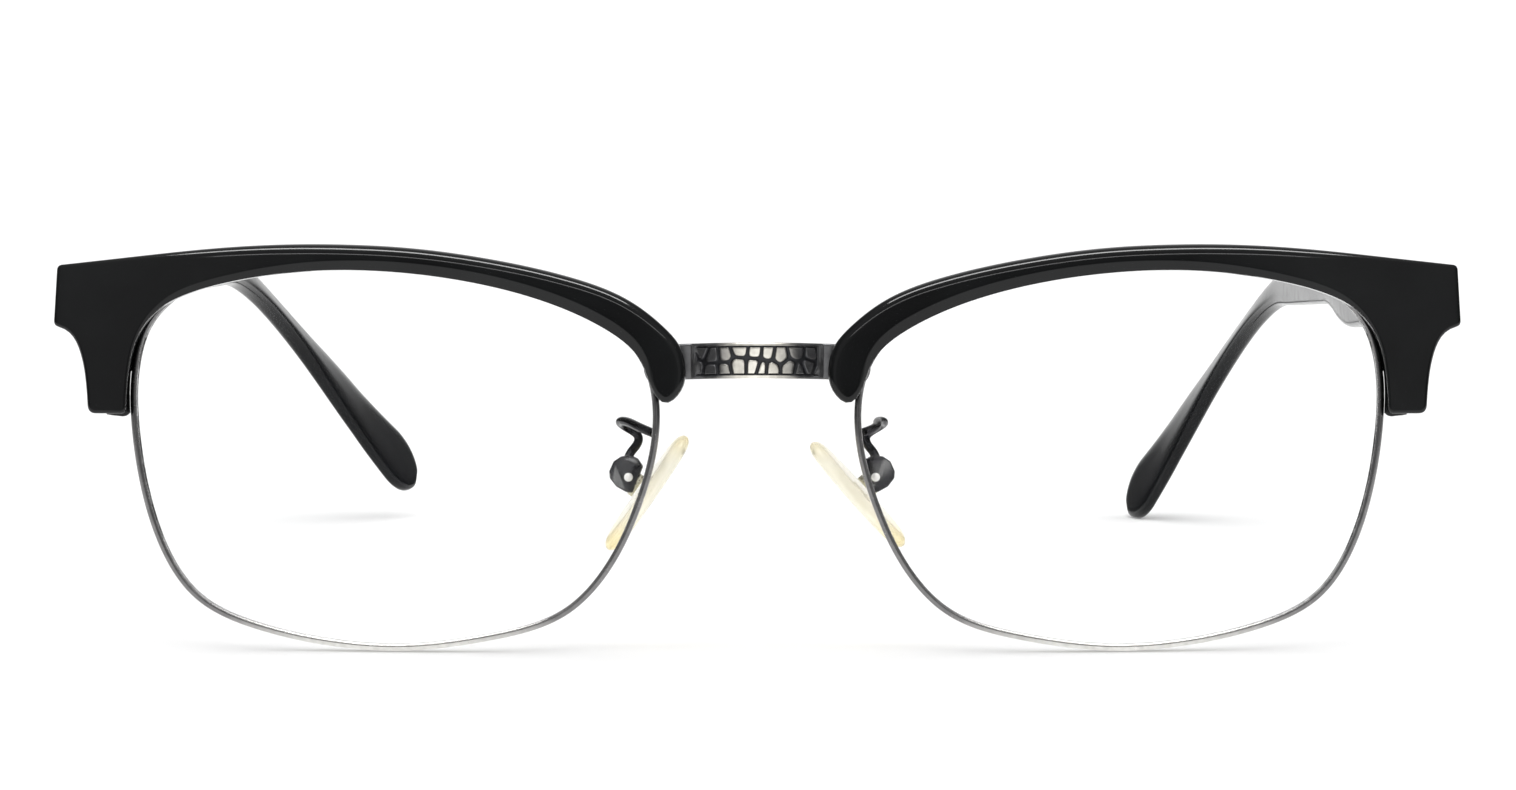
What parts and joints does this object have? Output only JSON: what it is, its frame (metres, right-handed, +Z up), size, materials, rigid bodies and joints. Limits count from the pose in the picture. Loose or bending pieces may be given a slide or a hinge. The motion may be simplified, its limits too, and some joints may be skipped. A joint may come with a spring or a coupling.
{
  "type": "half rim eyeglasses",
  "caption": "Browline eyeglasses: black acetate brows and curved-end temples on thin dark metal rims, with a textured metal bridge and clear nose pads on wire arms.",
  "frame": {"origin": "centre of the bounding box's bottom face, on the table the glasses stand on", "axes": "+X to the wearer's left, +Y from the front towards the temple tips, +Z up"},
  "size_m": [0.1416, 0.1456, 0.0407],
  "materials": {
    "brow_acetate": "polished black acetate",
    "temple_acetate": "polished black acetate",
    "lens": "clear, untinted, polished",
    "rim_metal": "dark gunmetal plating, satin",
    "bridge_metal": "gunmetal with raised polished cells",
    "pad_arm_metal": "near-black gunmetal plating",
    "hinge_metal": "gunmetal",
    "bright_steel": "polished steel",
    "core_wire": "plain steel wire",
    "nose_pad": "translucent pale yellow silicone",
    "pad_insert": "small metal insert"
  },
  "bodies": {
    "front": {"bridge": "bridge_metal", "brow_left": "brow_acetate", "brow_right": "brow_acetate", "rim_left": "rim_metal", "rim_right": "rim_metal", "lens_left": "lens", "lens_right": "lens", "rim_block_upper_left": "rim_metal", "rim_block_upper_right": "rim_metal", "rim_block_lower_left": "rim_metal", "rim_block_lower_right": "rim_metal", "rim_screw_left": "bright_steel", "rim_screw_right": "bright_steel", "bridge_screw_left": "bright_steel", "bridge_screw_right": "bright_steel", "rim_lug_left": "rim_metal", "rim_lug_right": "rim_metal", "lug_screw_left": "bright_steel", "lug_screw_right": "bright_steel", "hinge_front_leaf_left": "hinge_metal", "hinge_front_leaf_right": "hinge_metal", "hinge_front_rivet_1_left": "bright_steel", "hinge_front_rivet_1_right": "bright_steel", "hinge_front_rivet_2_left": "bright_steel", "hinge_front_rivet_2_right": "bright_steel", "hinge_screw_left": "bright_steel", "hinge_screw_right": "bright_steel", "pad_arm_left": "pad_arm_metal", "pad_arm_right": "pad_arm_metal", "pad_box_left": "pad_arm_metal", "pad_box_right": "pad_arm_metal", "pad_screw_left": "bright_steel", "pad_screw_right": "bright_steel"},
    "temple_body_left": {"temple_left": "temple_acetate", "temple_core_left": "core_wire", "hinge_temple_leaf_left": "hinge_metal", "hinge_temple_rivet_1_left": "bright_steel", "hinge_temple_rivet_2_left": "bright_steel"},
    "temple_body_right": {"temple_right": "temple_acetate", "temple_core_right": "core_wire", "hinge_temple_leaf_right": "hinge_metal", "hinge_temple_rivet_1_right": "bright_steel", "hinge_temple_rivet_2_right": "bright_steel"},
    "pad_body_left": {"nose_pad_left": "nose_pad", "pad_stem_left": "pad_insert"},
    "pad_body_right": {"nose_pad_right": "nose_pad", "pad_stem_right": "pad_insert"}
  },
  "joints": [
    {"name": "temple_fold_left", "type": "hinge", "parent": "front", "child": "temple_body_left", "pos_m": [0.0623, -0.0603, 0.03454], "axis": [0, 0.0715, 0.9974], "range_deg": [0, 86.2]},
    {"name": "temple_fold_right", "type": "hinge", "parent": "front", "child": "temple_body_right", "pos_m": [-0.0623, -0.0603, 0.03454], "axis": [0, -0.0715, -0.9974], "range_deg": [0, 68]},
    {"name": "pad_swivel_left", "type": "hinge", "parent": "front", "child": "pad_body_left", "pos_m": [0.01195, -0.06367, 0.01684], "axis": [0, 0.9974, -0.0715], "range_deg": [-8, 8]},
    {"name": "pad_swivel_right", "type": "hinge", "parent": "front", "child": "pad_body_right", "pos_m": [-0.01305, -0.06367, 0.01684], "axis": [0, 0.9974, -0.0715], "range_deg": [-8, 8]}
  ]
}
